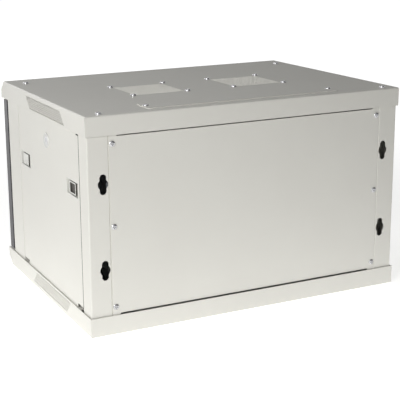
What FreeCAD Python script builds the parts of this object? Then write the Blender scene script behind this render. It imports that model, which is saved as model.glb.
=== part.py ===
import FreeCAD, Part
import math
import os

V = FreeCAD.Vector

# A wall mounted network cabinet, six rack units high, in millimetres.
# X runs across the cabinet, Y from the door to the wall, Z up. The origin is
# in the middle of the underside.

# Overall size
width = 600.0
depth = 450.0
rack_units = 6
unit_pitch = 44.45
head_room = 101.3              # height of the cabinet beyond its rack units

# Sheet metal
sheet = 1.5                    # covers, uprights, beams, rails and door
panel_sheet = 1.2              # side panels and back panel
bend = 1.0                     # inside radius of every bend
seam = 0.5                     # gap between neighbouring panels
play = 0.3                     # clearance of parts that move past each other
running = 0.05                 # radial clearance of a shaft in its bush

# Top cover and base pan
skirt = 33.0
nose_back = 19.5               # how far the sloped nose reaches back
nose_down = 17.0               # and how far it drops
lip_depth = 27.0               # return under the nose
lip_turn = 8.5                 # stiffening turn at the end of a return
side_lip = 16.0                # return under each side skirt
body_inset = 2.5               # uprights and panels stand inside the skirts
side_screw_inset = 28.0         # corner screws, from the cover's side
rear_screw_inset = 12.5         # from its rear
front_screw_inset = 70.5        # and from its front

# Vents in the skirts
vent_length = 181.0
vent_height = 21.0
vent_slant = 20.0
vent_drop = 2.5                # below the middle of the skirt
vent_bars = 8
vent_slot_share = 0.6          # open share of each pitch
vent_edge = 2.2

# Uprights
pillar_side = 35.0             # side face of a rear upright
pillar_back = 37.2             # rear face of a rear upright
front_side = 64.5              # side face of a front upright
front_face = 25.5              # front face of a front upright
front_leg = 16.0               # from the front face back to the inner flange
flange_reach = 13.0            # flange that carries the back panel and the beams
step_run = 1.5                 # length of the step beside the back panel
stop_flange = 15.5             # flange that the side panel closes on
panel_depth = 13.0             # depth of the folded side panel

# Keyholes for the wall screws
keyhole_inset = 26.5           # from the upright's side face
keyhole_spacing = 144.0
keyhole_radius = 9.0
eye_sides = 12
keyslot_radius = 6.0
keyslot_length = 34.0

# Back panel
back_flange = 15.0
back_ear = 14.0
back_slot = 2.4                # open slot above and below the panel
ear_reach = 12.0               # how far the ears go behind the skirts
back_screw_inset = 5.8         # from the panel's side
back_screw_drop = 14.0         # upper row, from the lid's skirt down

# Side panel
panel_gap_top = 0.6
panel_gap_bottom = 6.0
hook_width = 60.0
hook_drop = 15.0
hook_inset = 58.0              # middle of a hook, from the panel's end
hook_slot = 6.5
corner_notch = 5.0             # cut out of the upper rear corner
lock_drop = 38.7               # lock, from the panel's upper edge down

# Side latches
latch_drop = 96.4              # from the panel's upper edge down
latch_inset = 35.5             # from the panel's end
pocket_length = 54.0
pocket_height = 28.0
pocket_depth = 9.5
pocket_wall = 1.5
rim_reach = 4.0
thumb_length = 28.0
thumb_height = 21.0
thumb_thick = 4.5
grip_pitch = 6.5
grip_width = 2.5
grip_depth = 1.0
neck_length = 10.0
neck_height = 8.0
bolt_thick = 3.0
bolt_height = 12.0
latch_travel = 10.0

# Cam locks
lock_rim = 13.5
lock_rim_thick = 1.8
lock_barrel = 9.0
lock_core = 7.0
lock_tail = 4.0                # half width of the square that drives the cam
lock_strike_clear = 2.0        # round the door lock's cam in its slot
rim_sides = 16                 # corners of a lock's rim
bore_sides = 10                # flats round the bore that a core or shaft runs in
barrel_flats = 8               # the barrel can't turn in its hole
cam_sides = 8
cam_thick = 2.2
cam_width = 14.0
side_cam = 46.0
door_cam = 24.0
key_slot_width = 1.4
key_slot_length = 8.0
key_slot_depth = 4.0

# Door
door_setback = 2.5             # door face behind the nose
door_thick = 23.5
door_gap = 3.0                 # above and below the door
door_clear = 5.0               # between the door and the uprights
door_edge = 4.0                # rounding of the door's upright edges
stile = 56.0
door_rail = 32.0
door_return = 10.0
glass_thick = 4.0
glass_lap = 8.0
strip_cover = 6.0
hinge_inset = 9.5
hinge_depth = 10.5             # pin axis behind the door face
pin_radius = 3.0
pin_head = 5.5
pin_head_thick = 3.0
bush_wall = 2.0
bush_rim = 7.5
bush_rim_thick = 1.2
bush_sides = 8                 # flats that keep a bush from turning
lock_inset = 36.0

# Rack rails
rail_margin = 67.45            # cabinet's side to a column of rack holes, 465.1 mm apart
rail_hole_inset = 7.05         # the rail's inner edge to its holes
rail_face = 21.5
rail_leg = 32.0
rail_hole = 9.5
rail_end = 6.0                 # rail beyond its last rack unit
front_rail_setback = 75.0      # face of a front rail, behind the nose
rear_rail_setback = 75.0       # face of a rear rail, before the wall side
first_hole = 6.35
hole_pitch = 15.875

# Side beams
beam_height = 30.0
beam_inset = 27.35             # middle of a beam, inside the end of the rack units
beam_slot_length = 60.0
beam_bolt_inset = 6.0

# Fans
fan_x = 99.0
fan_y = 21.7
fan_size = 120.0
fan_thick = 38.0
fan_flange = 4.0
fan_corner = 5.0
fan_bore = 57.5
fan_wall = 2.0
barrel_sides = 12              # flats round the outside of a fan's barrel and motor
bore_corners = 20              # and round the bore that its blades turn in
hub_sides = 12
fan_screw_inset = 7.5          # fixing screws, from the edges of a fan
fan_hub = 21.0
fan_motor_thick = 7.0
fan_shaft = 2.5
blade_count = 7
root_chord = 22.0
root_pitch = 42.0              # degrees between a blade's chord and the fan's plane
tip_chord = 34.0
tip_pitch = 24.0
mid_sweep = 2.0
tip_sweep = 6.0
blade_clear = 1.2
tip_sag = 5.0                  # a straight blade tip stays this far inside the round bore
blade_thick = 1.4
strut_width = 6.0
strut_count = 4

# Perforated fan fields
field_size = 97.0
field_hole = 12.6              # across the flats of a hexagonal hole
field_pitch = 15.8
field_border = 2.5

# Cable entries
entry_length = 330.0
entry_depth = 34.0
entry_sides = 8                # corners of a cable entry's ends, going round
cable_lap_side = 18.0          # cover beyond the entry's ends
cable_lap = 7.5                # and beyond its long sides
cable_setback = 42.5           # middle of the entry, before the wall side
cable_cover_corner = 3.0
cable_screw_inset = 6.5

# Screws
screw_shank = 2.0
screw_head = 4.4
screw_rise = 2.1
screw_crown = 0.7              # flat top of a pan head, as a share of its width
screw_length = 7.0
bolt_shank = 3.0
bolt_head = 5.0
bolt_rise = 4.0
nut_thick = 4.0
hole_clear = 0.2
hole_reach = 10.0              # how deep a hole is cut behind its screw's seat
shank_sides = 4                # shanks and their holes are drawn with four flats
head_sides = 6                 # and the heads of small screws with six

# Planes that follow from the sizes above
fan_pitch = fan_size - 2 * fan_screw_inset
rack_height = rack_units * unit_pitch
height = rack_height + head_room
half_width = width / 2
half_depth = depth / 2
mid_height = height / 2
screw_x = half_width - side_screw_inset
front_screw_y = -half_depth + front_screw_inset
rear_screw_y = half_depth - rear_screw_inset
lid_under = height - skirt
body_x = half_width - body_inset
body_back = half_depth - body_inset
door_front = -half_depth + door_setback
door_back = door_front + door_thick
body_front = door_back + door_clear
pillar_top = height - sheet
rear_edge = body_back - pillar_side
front_edge = body_front + front_side
panel_rear = rear_edge - seam
panel_front = front_edge + seam
panel_centre = (panel_rear + panel_front) / 2
panel_top = lid_under - panel_gap_top
panel_bottom = skirt + panel_gap_bottom
lock_height = panel_top - lock_drop
latch_height = panel_top - latch_drop
latch_offset = (panel_rear - panel_front) / 2 - latch_inset
hook_offset = (panel_rear - panel_front) / 2 - hook_inset
stop_x = body_x - panel_depth
step_x = body_x - pillar_back
flange_x = step_x - flange_reach
back_flange_y = body_back - panel_sheet
keyhole_x = body_x - keyhole_inset
back_half = step_x - seam
back_screw_x = back_half - back_screw_inset
back_screw_rise = lid_under - back_screw_drop - mid_height
front_flange_y = body_front + front_leg
front_leg_x = body_x - front_face
rail_holes_x = half_width - rail_margin
rail_inner = rail_holes_x - rail_hole_inset
front_rail_y = -half_depth + front_rail_setback
rear_rail_y = half_depth - rear_rail_setback
beam_x = rail_inner + rail_face
beam_rise = rack_height / 2 - beam_inset
beam_front = front_flange_y + sheet
beam_rear = back_flange_y - sheet
beam_outer = step_x - play
door_top = lid_under - door_gap
door_bottom = skirt + door_gap
hinge_x = -(body_x - hinge_inset)
hinge_y = door_front + hinge_depth
door_lock_x = body_x - lock_inset
door_cam_y = body_front + front_leg / 2 - cam_thick / 2
side_cam_x = stop_x - seam - play - cam_thick
cable_cover_length = entry_length + 2 * cable_lap_side
cable_cover_depth = entry_depth + 2 * cable_lap
cable_cover_centre = half_depth - cable_setback
cable_screw_x = cable_cover_length / 2 - cable_screw_inset


# Basic forms


def block(x0, x1, y0, y1, z0, z1):
    """A block between two corners."""
    return Part.makeBox(x1 - x0, y1 - y0, z1 - z0, V(x0, y0, z0))


def rod(start, direction, radius, length):
    """A round bar from a point along a direction."""
    return Part.makeCylinder(radius, length, start, direction)


def joined(shapes):
    """One solid from touching or overlapping ones, without seams in flat faces."""
    return shapes[0].multiFuse(shapes[1:]).removeSplitter()


def pierced(shape, tools):
    """A shape with all the tools cut out of it."""
    return shape.cut(Part.makeCompound(tools))


def other_side(shape):
    """The mirror image of a shape on the cabinet's other side."""
    return shape.mirror(V(0, 0, 0), V(1, 0, 0))


def upside_down(shape):
    """The mirror image of a shape about mid height."""
    return shape.mirror(V(0, 0, mid_height), V(0, 0, 1))


def polygon_face(points):
    """A flat face inside a closed outline."""
    return Part.Face(Part.makePolygon(points + points[:1]))


def prism(start, direction, sides, radius, length, end_radius=None):
    """A regular bar along a direction. Its flats lie at the radius, which may change to its end."""
    turn = FreeCAD.Rotation(V(0, 0, 1), direction)
    rings = []
    for flat, rise in ((radius, 0), (radius if end_radius is None else end_radius, length)):
        reach = flat / math.cos(math.pi / sides)
        angles = [2 * math.pi * (step + 0.5) / sides for step in range(sides)]
        ring = [V(reach * math.cos(angle), reach * math.sin(angle), rise) for angle in angles]
        rings.append([start + turn.multVec(point) for point in ring])
    low, high = rings
    faces = [polygon_face(low[::-1]), polygon_face(high)]
    for step in range(sides):
        after = (step + 1) % sides
        faces.append(polygon_face([low[step], low[after], high[after], high[step]]))
    return Part.Solid(Part.Shell(faces))


def obround(centre, direction, normal, length, radius, thickness, sides=None):
    """A bar with round or many-sided ends: the tool for a slot, centred on its thickness."""
    half = length / 2 - radius
    base = centre - normal * (thickness / 2)
    side = normal.cross(direction)
    ends = []
    for start in (base - direction * half, base + direction * half):
        if sides:
            ends.append(prism(start, normal, sides, radius, thickness))
        else:
            ends.append(rod(start, normal, radius, thickness))
    corners = [
        base + direction * (half * along) + side * (radius * across)
        for along, across in ((-1, -1), (1, -1), (1, 1), (-1, 1))
    ]
    middle = polygon_face(corners).extrude(normal * thickness)
    return joined([middle] + ends)


# Bent sheet


def left_normal(start, end):
    """Unit vector to the left of a step in the XY plane."""
    step = (end - start).normalize()
    return V(-step.y, step.x, 0)


def carried_left(points, distance):
    """The corners of an open line, carried to its left by a distance."""
    normals = [left_normal(a, b) for a, b in zip(points, points[1:])]
    moved = [points[0] + normals[0] * distance]
    for corner, before, after in zip(points[1:-1], normals, normals[1:]):
        middle = (before + after).normalize()
        moved.append(corner + middle * (distance / middle.dot(before)))
    moved.append(points[-1] + normals[-1] * distance)
    return moved


def rounded_line(points, radii):
    """The edges of an open line whose corners are rounded by arcs."""
    edges = []
    start = points[0]
    for before, corner, after, radius in zip(points, points[1:], points[2:], radii):
        if radius == 0:
            edges.append(Part.LineSegment(start, corner).toShape())
            start = corner
            continue
        back = (before - corner).normalize()
        ahead = (after - corner).normalize()
        half_turn = (math.pi - back.getAngle(ahead)) / 2
        reach = radius * math.tan(half_turn)
        entry = corner + back * reach
        leave = corner + ahead * reach
        inward = (back + ahead).normalize()
        middle = corner + inward * (radius / math.cos(half_turn) - radius)
        edges.append(Part.LineSegment(start, entry).toShape())
        edges.append(Part.Arc(entry, middle, leave).toShape())
        start = leave
    edges.append(Part.LineSegment(start, points[-1]).toShape())
    return edges


def bent_section(corners, thickness, rounded):
    """Section of a bent sheet. The corners run along its right-hand face.

    The bends whose numbers are in rounded get their radius, and the others stay crisp.
    """
    points = [V(u, v, 0) for u, v in corners]
    right_radii = []
    left_radii = []
    for number in range(1, len(points) - 1):
        before, corner, after = points[number - 1:number + 2]
        turns_left = (corner - before).cross(after - corner).z > 0
        wide, tight = (bend + thickness, bend) if number in rounded else (0, 0)
        right_radii.append(wide if turns_left else tight)
        left_radii.append(tight if turns_left else wide)
    left = carried_left(points, thickness)
    edges = rounded_line(points, right_radii)
    edges.append(Part.LineSegment(points[-1], left[-1]).toShape())
    edges += rounded_line(left[::-1], left_radii[::-1])
    edges.append(Part.LineSegment(left[0], points[0]).toShape())
    return Part.Face(Part.Wire(edges))


def folded_up(corners, thickness, z0, z1, rounded=()):
    """A bent sheet whose section lies in XY, extruded along Z."""
    solid = bent_section(corners, thickness, rounded).extrude(V(0, 0, z1 - z0))
    solid.translate(V(0, 0, z0))
    return solid


def folded_across(corners, thickness, x0, x1, rounded=()):
    """A bent sheet whose section lies in YZ, extruded along X."""
    solid = bent_section(corners, thickness, rounded).extrude(V(0, 0, x1 - x0))
    turn = FreeCAD.Rotation(V(0, 1, 0), V(0, 0, 1), V(1, 0, 0), "XYZ")
    return solid.transformGeometry(FreeCAD.Placement(V(x0, 0, 0), turn).toMatrix())


def folded_back(corners, thickness, y0, y1, rounded=()):
    """A bent sheet whose section lies in XZ, extruded along Y."""
    solid = bent_section(corners, thickness, rounded).extrude(V(0, 0, y1 - y0))
    turn = FreeCAD.Rotation(V(1, 0, 0), V(0, 0, 1), V(0, -1, 0), "XYZ")
    return solid.transformGeometry(FreeCAD.Placement(V(0, y1, 0), turn).toMatrix())


def edges_on(shape, test):
    """The edges of a shape whose every vertex passes a test."""
    return [edge for edge in shape.Edges if all(test(vertex.Point) for vertex in edge.Vertexes)]


def chamfer_for(radius):
    """Width of the chamfer that touches the middle of a square corner's arc."""
    return radius * (2 - math.sqrt(2))


def same(a, b):
    """Whether two lengths are equal to within a thousandth."""
    return abs(a - b) < 0.001


# Screws


def pan_screw(seat, outward, length=screw_length):
    """A pan head screw. Its head stands on the seat and its shank goes in."""
    head = prism(seat, outward, head_sides, screw_head, screw_rise, screw_head * screw_crown)
    shank = prism(seat - outward * length, outward, shank_sides, screw_shank, length)
    return joined([head, shank])


def hex_bolt(seat, outward, length):
    """A hexagon head bolt with a plain shank."""
    head = prism(seat, outward, 6, bolt_head, bolt_rise)
    return joined([head, prism(seat - outward * length, outward, shank_sides, bolt_shank, length)])


def flush_screw(seat, outward):
    """A countersunk screw, flush with the face that it holds."""
    cone_depth = screw_head - screw_shank
    cone = prism(seat - outward * cone_depth, outward, head_sides, screw_shank, cone_depth, screw_head)
    shank = prism(seat - outward * screw_length, outward, shank_sides, screw_shank, screw_length)
    return joined([cone, shank])


def screw_hole(seat, outward, reach=hole_reach, shank=screw_shank):
    """The tool for a clearance hole through whatever a screw holds."""
    return prism(seat - outward * reach, outward, shank_sides, shank + hole_clear, reach + 1)


def sunk_hole(seat, outward):
    """The tool for a countersunk hole."""
    cone_depth = screw_head - screw_shank
    cone = prism(
        seat - outward * cone_depth,
        outward,
        head_sides,
        screw_shank + hole_clear,
        cone_depth,
        screw_head + hole_clear,
    )
    return joined([cone, screw_hole(seat, outward)])


UP = V(0, 0, 1)
OUT_X = V(1, 0, 0)
OUT_Y = V(0, 1, 0)


# Places that several parts share


def corner_screw_points(z):
    """The four screws that hold a cover to the uprights."""
    return [V(side * screw_x, y, z) for side in (-1, 1) for y in (front_screw_y, rear_screw_y)]


def cable_screw_points(z):
    """The two screws of a cable entry cover."""
    return [V(side * cable_screw_x, cable_cover_centre, z) for side in (-1, 1)]


def fan_screw_points(side, z):
    """The four screws of one fan."""
    half = fan_pitch / 2
    return [V(side * fan_x + half * a, fan_y + half * b, z) for a in (-1, 1) for b in (-1, 1)]


def back_screw_points():
    """The six screws of the back panel."""
    return [
        V(side * back_screw_x, body_back, mid_height + row * back_screw_rise)
        for side in (-1, 1)
        for row in (-1, 0, 1)
    ]


def beam_heights():
    """Mid height of the lower and of the upper beam."""
    return (mid_height - beam_rise, mid_height + beam_rise)


# Covers


def vent_outline(x, shrink):
    """Corners of the slanted vent in the right skirt of the lid."""
    middle = lid_under + skirt / 2 - vent_drop
    lean = vent_slant / 2
    half_length = vent_length / 2 - shrink
    half_height = vent_height / 2 - shrink
    lean = lean * half_height / (vent_height / 2)
    return [
        V(x, panel_centre + along * half_length - up * lean, middle + up * half_height)
        for along, up in ((-1, -1), (1, -1), (1, 1), (-1, 1))
    ]


def vent_block(shrink, thickness):
    """The slanted vent as a solid through the right skirt."""
    face = polygon_face(vent_outline(half_width - thickness, shrink))
    return face.extrude(V(thickness, 0, 0))


def lid_prism(offset, floor):
    """The form of the lid at an offset inside its outer face."""
    slope = math.atan2(nose_down, nose_back)
    crest = -half_depth + nose_back + offset * math.tan(slope / 2)
    foot = height - nose_down - offset * math.tan((math.pi / 2 - slope) / 2)
    front = -half_depth + offset
    back = half_depth - offset
    top = height - offset
    outline = [V(0, back, floor), V(0, back, top), V(0, crest, top), V(0, front, foot), V(0, front, floor)]
    solid = polygon_face(outline).extrude(V(width - 2 * offset, 0, 0))
    solid.translate(V(-half_width + offset, 0, 0))
    return solid


def lid_outside():
    """Outer form of the lid, its side and rear bends rounded."""
    solid = lid_prism(0, lid_under)
    crest = -half_depth + nose_back
    top_edges = edges_on(solid, lambda p: same(p.z, height))
    bends = [edge for edge in top_edges if not same(edge.BoundBox.YMax, crest)]
    return solid.makeFillet(bend + sheet, bends)


def front_return():
    """Return lip under the nose, turned up at its end. It carries the door's bushes."""
    corners = [
        (-half_depth + lip_depth, lid_under + sheet + lip_turn),
        (-half_depth + lip_depth, lid_under),
        (-half_depth + sheet, lid_under),
    ]
    inner = half_width - sheet
    return folded_across(corners[::-1], sheet, -inner, inner)


def side_return():
    """Return lip under the right skirt, between the stop flanges of the two uprights."""
    inner = half_width - side_lip
    corners = [
        (inner, lid_under + sheet + lip_turn),
        (inner, lid_under),
        (half_width - sheet, lid_under),
    ]
    front = front_edge + stop_flange + play
    rear = rear_edge - stop_flange - play
    return folded_back(corners, sheet, front, rear)


def cover_shell():
    """What the lid and the base pan share."""
    shell = lid_outside().cut(lid_prism(sheet, lid_under - 1))
    lips = side_return()
    shell = joined([shell, lips, other_side(lips), front_return()])
    vent = vent_block(0, sheet + 1)
    vent.translate(V(0.5, 0, 0))
    tools = [vent, other_side(vent)]
    entry = V(0, cable_cover_centre, height)
    tools.append(obround(entry, OUT_X, UP, entry_length, entry_depth / 2, 4 * sheet, entry_sides))
    bush = V(hinge_x, hinge_y, lid_under - 1)
    tools.append(prism(bush, UP, bush_sides, pin_radius + running + bush_wall, 4 * sheet))
    return shell, tools


def top_cover():
    """The lid: nose, skirts, vents, two square fan openings and screw holes."""
    shell, tools = cover_shell()
    tools += [screw_hole(point, UP) for point in corner_screw_points(height)]
    tools += [screw_hole(point, UP) for point in cable_screw_points(height)]
    half = field_size / 2
    for side in (-1, 1):
        x = side * fan_x
        tools.append(block(x - half, x + half, fan_y - half, fan_y + half, height - 3 * sheet, height + 1))
        tools += [screw_hole(point, UP) for point in fan_screw_points(side, height)]
    return pierced(shell, tools)


def base_pan():
    """The base: the lid's form turned over, with slots for the panel hooks."""
    shell, tools = cover_shell()
    tools += [sunk_hole(point, UP) for point in corner_screw_points(height)]
    tools += [screw_hole(point, UP, 4 * sheet) for point in cable_screw_points(height)]
    for side in (-1, 1):
        for end in (-1, 1):
            middle = panel_centre + end * hook_offset
            half = hook_width / 2 + 2 * play
            outer = half_width - sheet
            inner = outer - hook_slot
            x0, x1 = sorted((side * inner, side * outer))
            tools.append(block(x0, x1, middle - half, middle + half, lid_under - 1, lid_under + 3 * sheet))
    return upside_down(pierced(shell, tools))


def vent_plate():
    """Slotted plate that fills the vent in the right skirt of the lid."""
    plate = vent_block(0, sheet)
    corners = vent_outline(half_width - 2 * sheet, vent_edge)
    low_start, low_end, high_end, high_start = corners
    pitch = 1.0 / vent_bars
    tools = []
    for bar in range(vent_bars):
        first = (bar + (1 - vent_slot_share) / 2) * pitch
        last = first + vent_slot_share * pitch
        slot = [
            low_start + (low_end - low_start) * first,
            low_start + (low_end - low_start) * last,
            high_start + (high_end - high_start) * last,
            high_start + (high_end - high_start) * first,
        ]
        tools.append(polygon_face(slot).extrude(V(3 * sheet, 0, 0)))
    return pierced(plate, tools)


def fan_grille(side):
    """Perforated field over one fan, flush with the lid."""
    half = field_size / 2
    x, y = side * fan_x, fan_y
    plate = block(x - half, x + half, y - half, y + half, height - sheet, height)
    reach = half - field_border
    corner = field_hole / math.sqrt(3)
    row_pitch = field_pitch * math.sqrt(3) / 2
    rows = int((reach - corner) / row_pitch)
    tools = []
    for row in range(-rows, rows + 1):
        shift = (row % 2) * field_pitch / 2
        spots = int((reach - field_hole / 2 + shift) / field_pitch)
        for spot in range(-spots, spots + 1):
            u = spot * field_pitch + shift
            if abs(u) + field_hole / 2 > reach:
                continue
            points = []
            for step in range(6):
                angle = math.radians(60 * step + 30)
                points.append(
                    V(
                        x + u + corner * math.cos(angle),
                        y + row * row_pitch + corner * math.sin(angle),
                        height - 2 * sheet,
                    )
                )
            tools.append(polygon_face(points).extrude(V(0, 0, 4 * sheet)))
    return pierced(plate, tools)


def cable_cover(z, thickness):
    """Plate that closes a cable entry."""
    half_x = cable_cover_length / 2
    half_y = cable_cover_depth / 2
    plate = block(
        -half_x, half_x, cable_cover_centre - half_y, cable_cover_centre + half_y, z, z + thickness
    )
    uprights = [edge for edge in plate.Edges if same(edge.BoundBox.ZLength, thickness)]
    plate = plate.makeChamfer(cable_cover_corner, uprights)
    return pierced(plate, [screw_hole(point, UP) for point in cable_screw_points(z + thickness)])


# Frame


def end_tabs(x0, x1, y0, y1, screw):
    """The plates that close an upright at both ends, drilled for the cover screws."""
    top = block(x0, x1, y0, y1, pillar_top - sheet, pillar_top)
    hole = screw_hole(V(screw.x, screw.y, pillar_top), UP)
    top = top.cut(hole)
    bottom = upside_down(block(x0, x1, y0, y1, pillar_top - sheet, pillar_top))
    bottom = bottom.cut(sunk_hole(V(screw.x, screw.y, 0), -UP))
    return [top, bottom]


def keyhole(x, z):
    """The tool for a double keyhole: a round hole with a slot above and below."""
    centre = V(x, body_back, z)
    slot = obround(centre, UP, OUT_Y, keyslot_length, keyslot_radius, 6 * sheet)
    eye = prism(centre - OUT_Y * (3 * sheet), OUT_Y, eye_sides, keyhole_radius, 6 * sheet)
    return joined([slot, eye])


def rear_upright():
    """Right rear upright: stop for the side panel, corner, step for the back panel."""
    corners = [
        (stop_x, rear_edge - stop_flange),
        (stop_x, rear_edge),
        (body_x, rear_edge),
        (body_x, body_back),
        (step_x + step_run, body_back),
        (step_x, back_flange_y),
        (flange_x, back_flange_y),
    ]
    post = folded_up(corners, sheet, sheet, pillar_top, rounded=(3,))
    screw = V(screw_x, rear_screw_y, 0)
    tabs = end_tabs(step_x + 2 * step_run, body_x - sheet, rear_edge + sheet, body_back - sheet, screw)
    post = joined([post] + tabs)
    tools = [keyhole(keyhole_x, mid_height + end * keyhole_spacing / 2) for end in (-1, 1)]
    tools += [screw_hole(point, OUT_Y) for point in back_screw_points() if point.x > 0]
    for z in beam_heights():
        seat = V(step_x - beam_bolt_inset, back_flange_y, z)
        tools.append(screw_hole(seat, OUT_Y, hole_reach, bolt_shank))
    return pierced(post, tools)


def front_upright(with_strike):
    """Right front upright: inner flange, front face, side face, stop flange."""
    corners = [
        (flange_x, front_flange_y),
        (front_leg_x, front_flange_y),
        (front_leg_x, body_front),
        (body_x, body_front),
        (body_x, front_edge),
        (stop_x, front_edge),
        (stop_x, front_edge + stop_flange),
    ]
    post = folded_up(corners, sheet, sheet, pillar_top, rounded=(3,))
    screw = V(screw_x, front_screw_y, 0)
    tabs = end_tabs(front_leg_x + sheet, body_x - sheet, body_front + sheet, front_edge - sheet, screw)
    post = joined([post] + tabs)
    tools = []
    for z in beam_heights():
        seat = V(step_x - beam_bolt_inset, front_flange_y, z)
        tools.append(screw_hole(seat, -OUT_Y, hole_reach, bolt_shank))
    if with_strike:
        low = mid_height - cam_width / 2 - lock_strike_clear
        high = mid_height + door_cam + lock_strike_clear
        front = door_cam_y - lock_strike_clear
        rear = door_cam_y + cam_thick + lock_strike_clear
        tools.append(block(front_leg_x - 1, front_leg_x + 3 * sheet, front, rear, low, high))
    return pierced(post, tools)


def back_panel():
    """Back panel with returns at top and bottom and ears behind the skirts."""
    top = lid_under - back_slot
    bottom = skirt + back_slot
    inner = back_half - back_ear
    corners = [
        (body_back - back_flange, bottom),
        (body_back, bottom),
        (body_back, top),
        (body_back - back_flange, top),
    ]
    middle = folded_across(corners, panel_sheet, -inner, inner)
    low = skirt - ear_reach
    high = lid_under + ear_reach
    ears = [
        block(x, x + back_ear, body_back - panel_sheet, body_back, low, high) for x in (-back_half, inner)
    ]
    panel = joined([middle] + ears)
    return pierced(panel, [screw_hole(point, OUT_Y) for point in back_screw_points()])


def side_beam(z):
    """Channel between the right uprights, slotted for the rack rails."""
    low = z - beam_height / 2
    high = z + beam_height / 2
    corners = [(beam_outer, high), (beam_x, high), (beam_x, low), (beam_outer, low)]
    channel = folded_back(corners, sheet, beam_front, beam_rear)
    inset = sheet + bend
    tabs = [
        block(beam_x + sheet, beam_outer, y, y + sheet, low + inset, high - inset)
        for y in (beam_front, beam_rear - sheet)
    ]
    channel = joined([channel] + tabs)
    tools = []
    for y in (front_rail_y + rail_leg / 2, rear_rail_y - rail_leg / 2):
        centre = V(beam_x, y, z)
        width_across = bolt_shank + hole_clear
        tools.append(obround(centre, OUT_Y, OUT_X, beam_slot_length, width_across, 4 * sheet, shank_sides))
    bolt_x = step_x - beam_bolt_inset
    tools.append(screw_hole(V(bolt_x, beam_front, z), -OUT_Y, 4 * sheet, bolt_shank))
    tools.append(screw_hole(V(bolt_x, beam_rear, z), OUT_Y, 4 * sheet, bolt_shank))
    return pierced(channel, tools)


def rack_rail(face_y, facing):
    """Right rack rail: square holes in its face, a leg on the side beams."""
    leg_y = face_y - facing * rail_leg
    corners = [(rail_inner, face_y), (beam_x, face_y), (beam_x, leg_y)]
    if facing > 0:
        corners = corners[::-1]
    reach = rack_height / 2 + rail_end
    rail = folded_up(corners, sheet, mid_height - reach, mid_height + reach)
    first = mid_height - rack_height / 2 + first_hole
    half = rail_hole / 2
    tools = []
    for unit in range(rack_units):
        for hole in range(3):
            z = first + unit * unit_pitch + hole * hole_pitch
            tools.append(
                block(
                    rail_holes_x - half,
                    rail_holes_x + half,
                    face_y - 3 * sheet,
                    face_y + 3 * sheet,
                    z - half,
                    z + half,
                )
            )
    for z in beam_heights():
        seat = V(beam_x - sheet, face_y - facing * rail_leg / 2, z)
        tools.append(screw_hole(seat, -OUT_X, 4 * sheet, bolt_shank))
    return pierced(rail, tools)


# Fans


def fan_housing(side):
    """Square fan housing with its motor carried on struts at the lower end."""
    x, y = side * fan_x, fan_y
    half = fan_size / 2
    top = height - sheet
    bottom = top - fan_thick
    flanges = []
    for z in (bottom, top - fan_flange):
        flange = block(x - half, x + half, y - half, y + half, z, z + fan_flange)
        uprights = [edge for edge in flange.Edges if same(edge.BoundBox.ZLength, fan_flange)]
        flanges.append(flange.makeChamfer(fan_corner, uprights))
    barrel = prism(V(x, y, bottom), UP, barrel_sides, fan_bore + fan_wall, fan_thick)
    bore = prism(V(x, y, bottom - 1), UP, bore_corners, fan_bore, fan_thick + 2)
    housing = joined([barrel] + flanges).cut(bore)
    motor = prism(V(x, y, bottom), UP, barrel_sides, fan_hub, fan_motor_thick)
    struts = []
    for index in range(strut_count):
        arm = block(
            fan_hub - 2, fan_bore + fan_wall / 2, -strut_width / 2, strut_width / 2, 0, fan_flange
        )
        arm.rotate(V(0, 0, 0), UP, 45 + 360 * index / strut_count)
        arm.translate(V(x, y, bottom))
        struts.append(arm)
    housing = joined([housing, motor] + struts)
    tools = [prism(V(x, y, bottom + 1), UP, bore_sides, fan_shaft + running, fan_motor_thick)]
    tools += [screw_hole(point, UP, screw_length + 1) for point in fan_screw_points(side, top)]
    return pierced(housing, tools)


def blade_section(radius, chord, pitch_angle, sweep):
    """Corners of one section of a fan blade at a radius, going round."""
    rise = math.sin(math.radians(pitch_angle)) * chord / 2
    run = math.cos(math.radians(pitch_angle)) * chord / 2
    corners = ((-1, -1), (1, -1), (1, 1), (-1, 1))
    return [V(radius, along * run + sweep, along * rise + up * blade_thick / 2) for along, up in corners]


def fan_blade(sections):
    """A twisted blade: flat triangles between one section and the next."""
    faces = [polygon_face(sections[0][::-1]), polygon_face(sections[-1])]
    for inner, outer in zip(sections, sections[1:]):
        for step in range(4):
            after = (step + 1) % 4
            faces.append(polygon_face([inner[step], inner[after], outer[after]]))
            faces.append(polygon_face([inner[step], outer[after], outer[step]]))
    return Part.Solid(Part.Shell(faces))


def fan_rotor(side):
    """Rotor: a hub with swept blades and the shaft that runs in the motor."""
    x, y = side * fan_x, fan_y
    bottom = height - sheet - fan_thick
    low = bottom + fan_motor_thick + play
    high = height - sheet - fan_flange
    hub = prism(V(0, 0, low), UP, hub_sides, fan_hub, high - low)
    middle = (low + high) / 2
    tip = fan_bore - blade_clear - tip_sag
    half_root = math.asin(root_chord / 2 / fan_hub)
    mid_chord = (root_chord + tip_chord) / 2
    mid_pitch = (root_pitch + tip_pitch) / 2
    sections = [
        blade_section(fan_hub * math.cos(half_root), root_chord, root_pitch, 0.0),
        blade_section((fan_hub + tip) / 2, mid_chord, mid_pitch, mid_sweep),
        blade_section(tip, tip_chord, tip_pitch, tip_sweep),
    ]
    blades = []
    for index in range(blade_count):
        blade = fan_blade(sections)
        blade.translate(V(0, 0, middle))
        blade.rotate(V(0, 0, 0), UP, 360.0 * index / blade_count)
        blades.append(blade)
    shaft = rod(V(0, 0, bottom + 1 + play), UP, fan_shaft, low - bottom)
    rotor = joined([hub, shaft] + blades)
    rotor.translate(V(x, y, 0))
    return rotor


# Door


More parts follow.
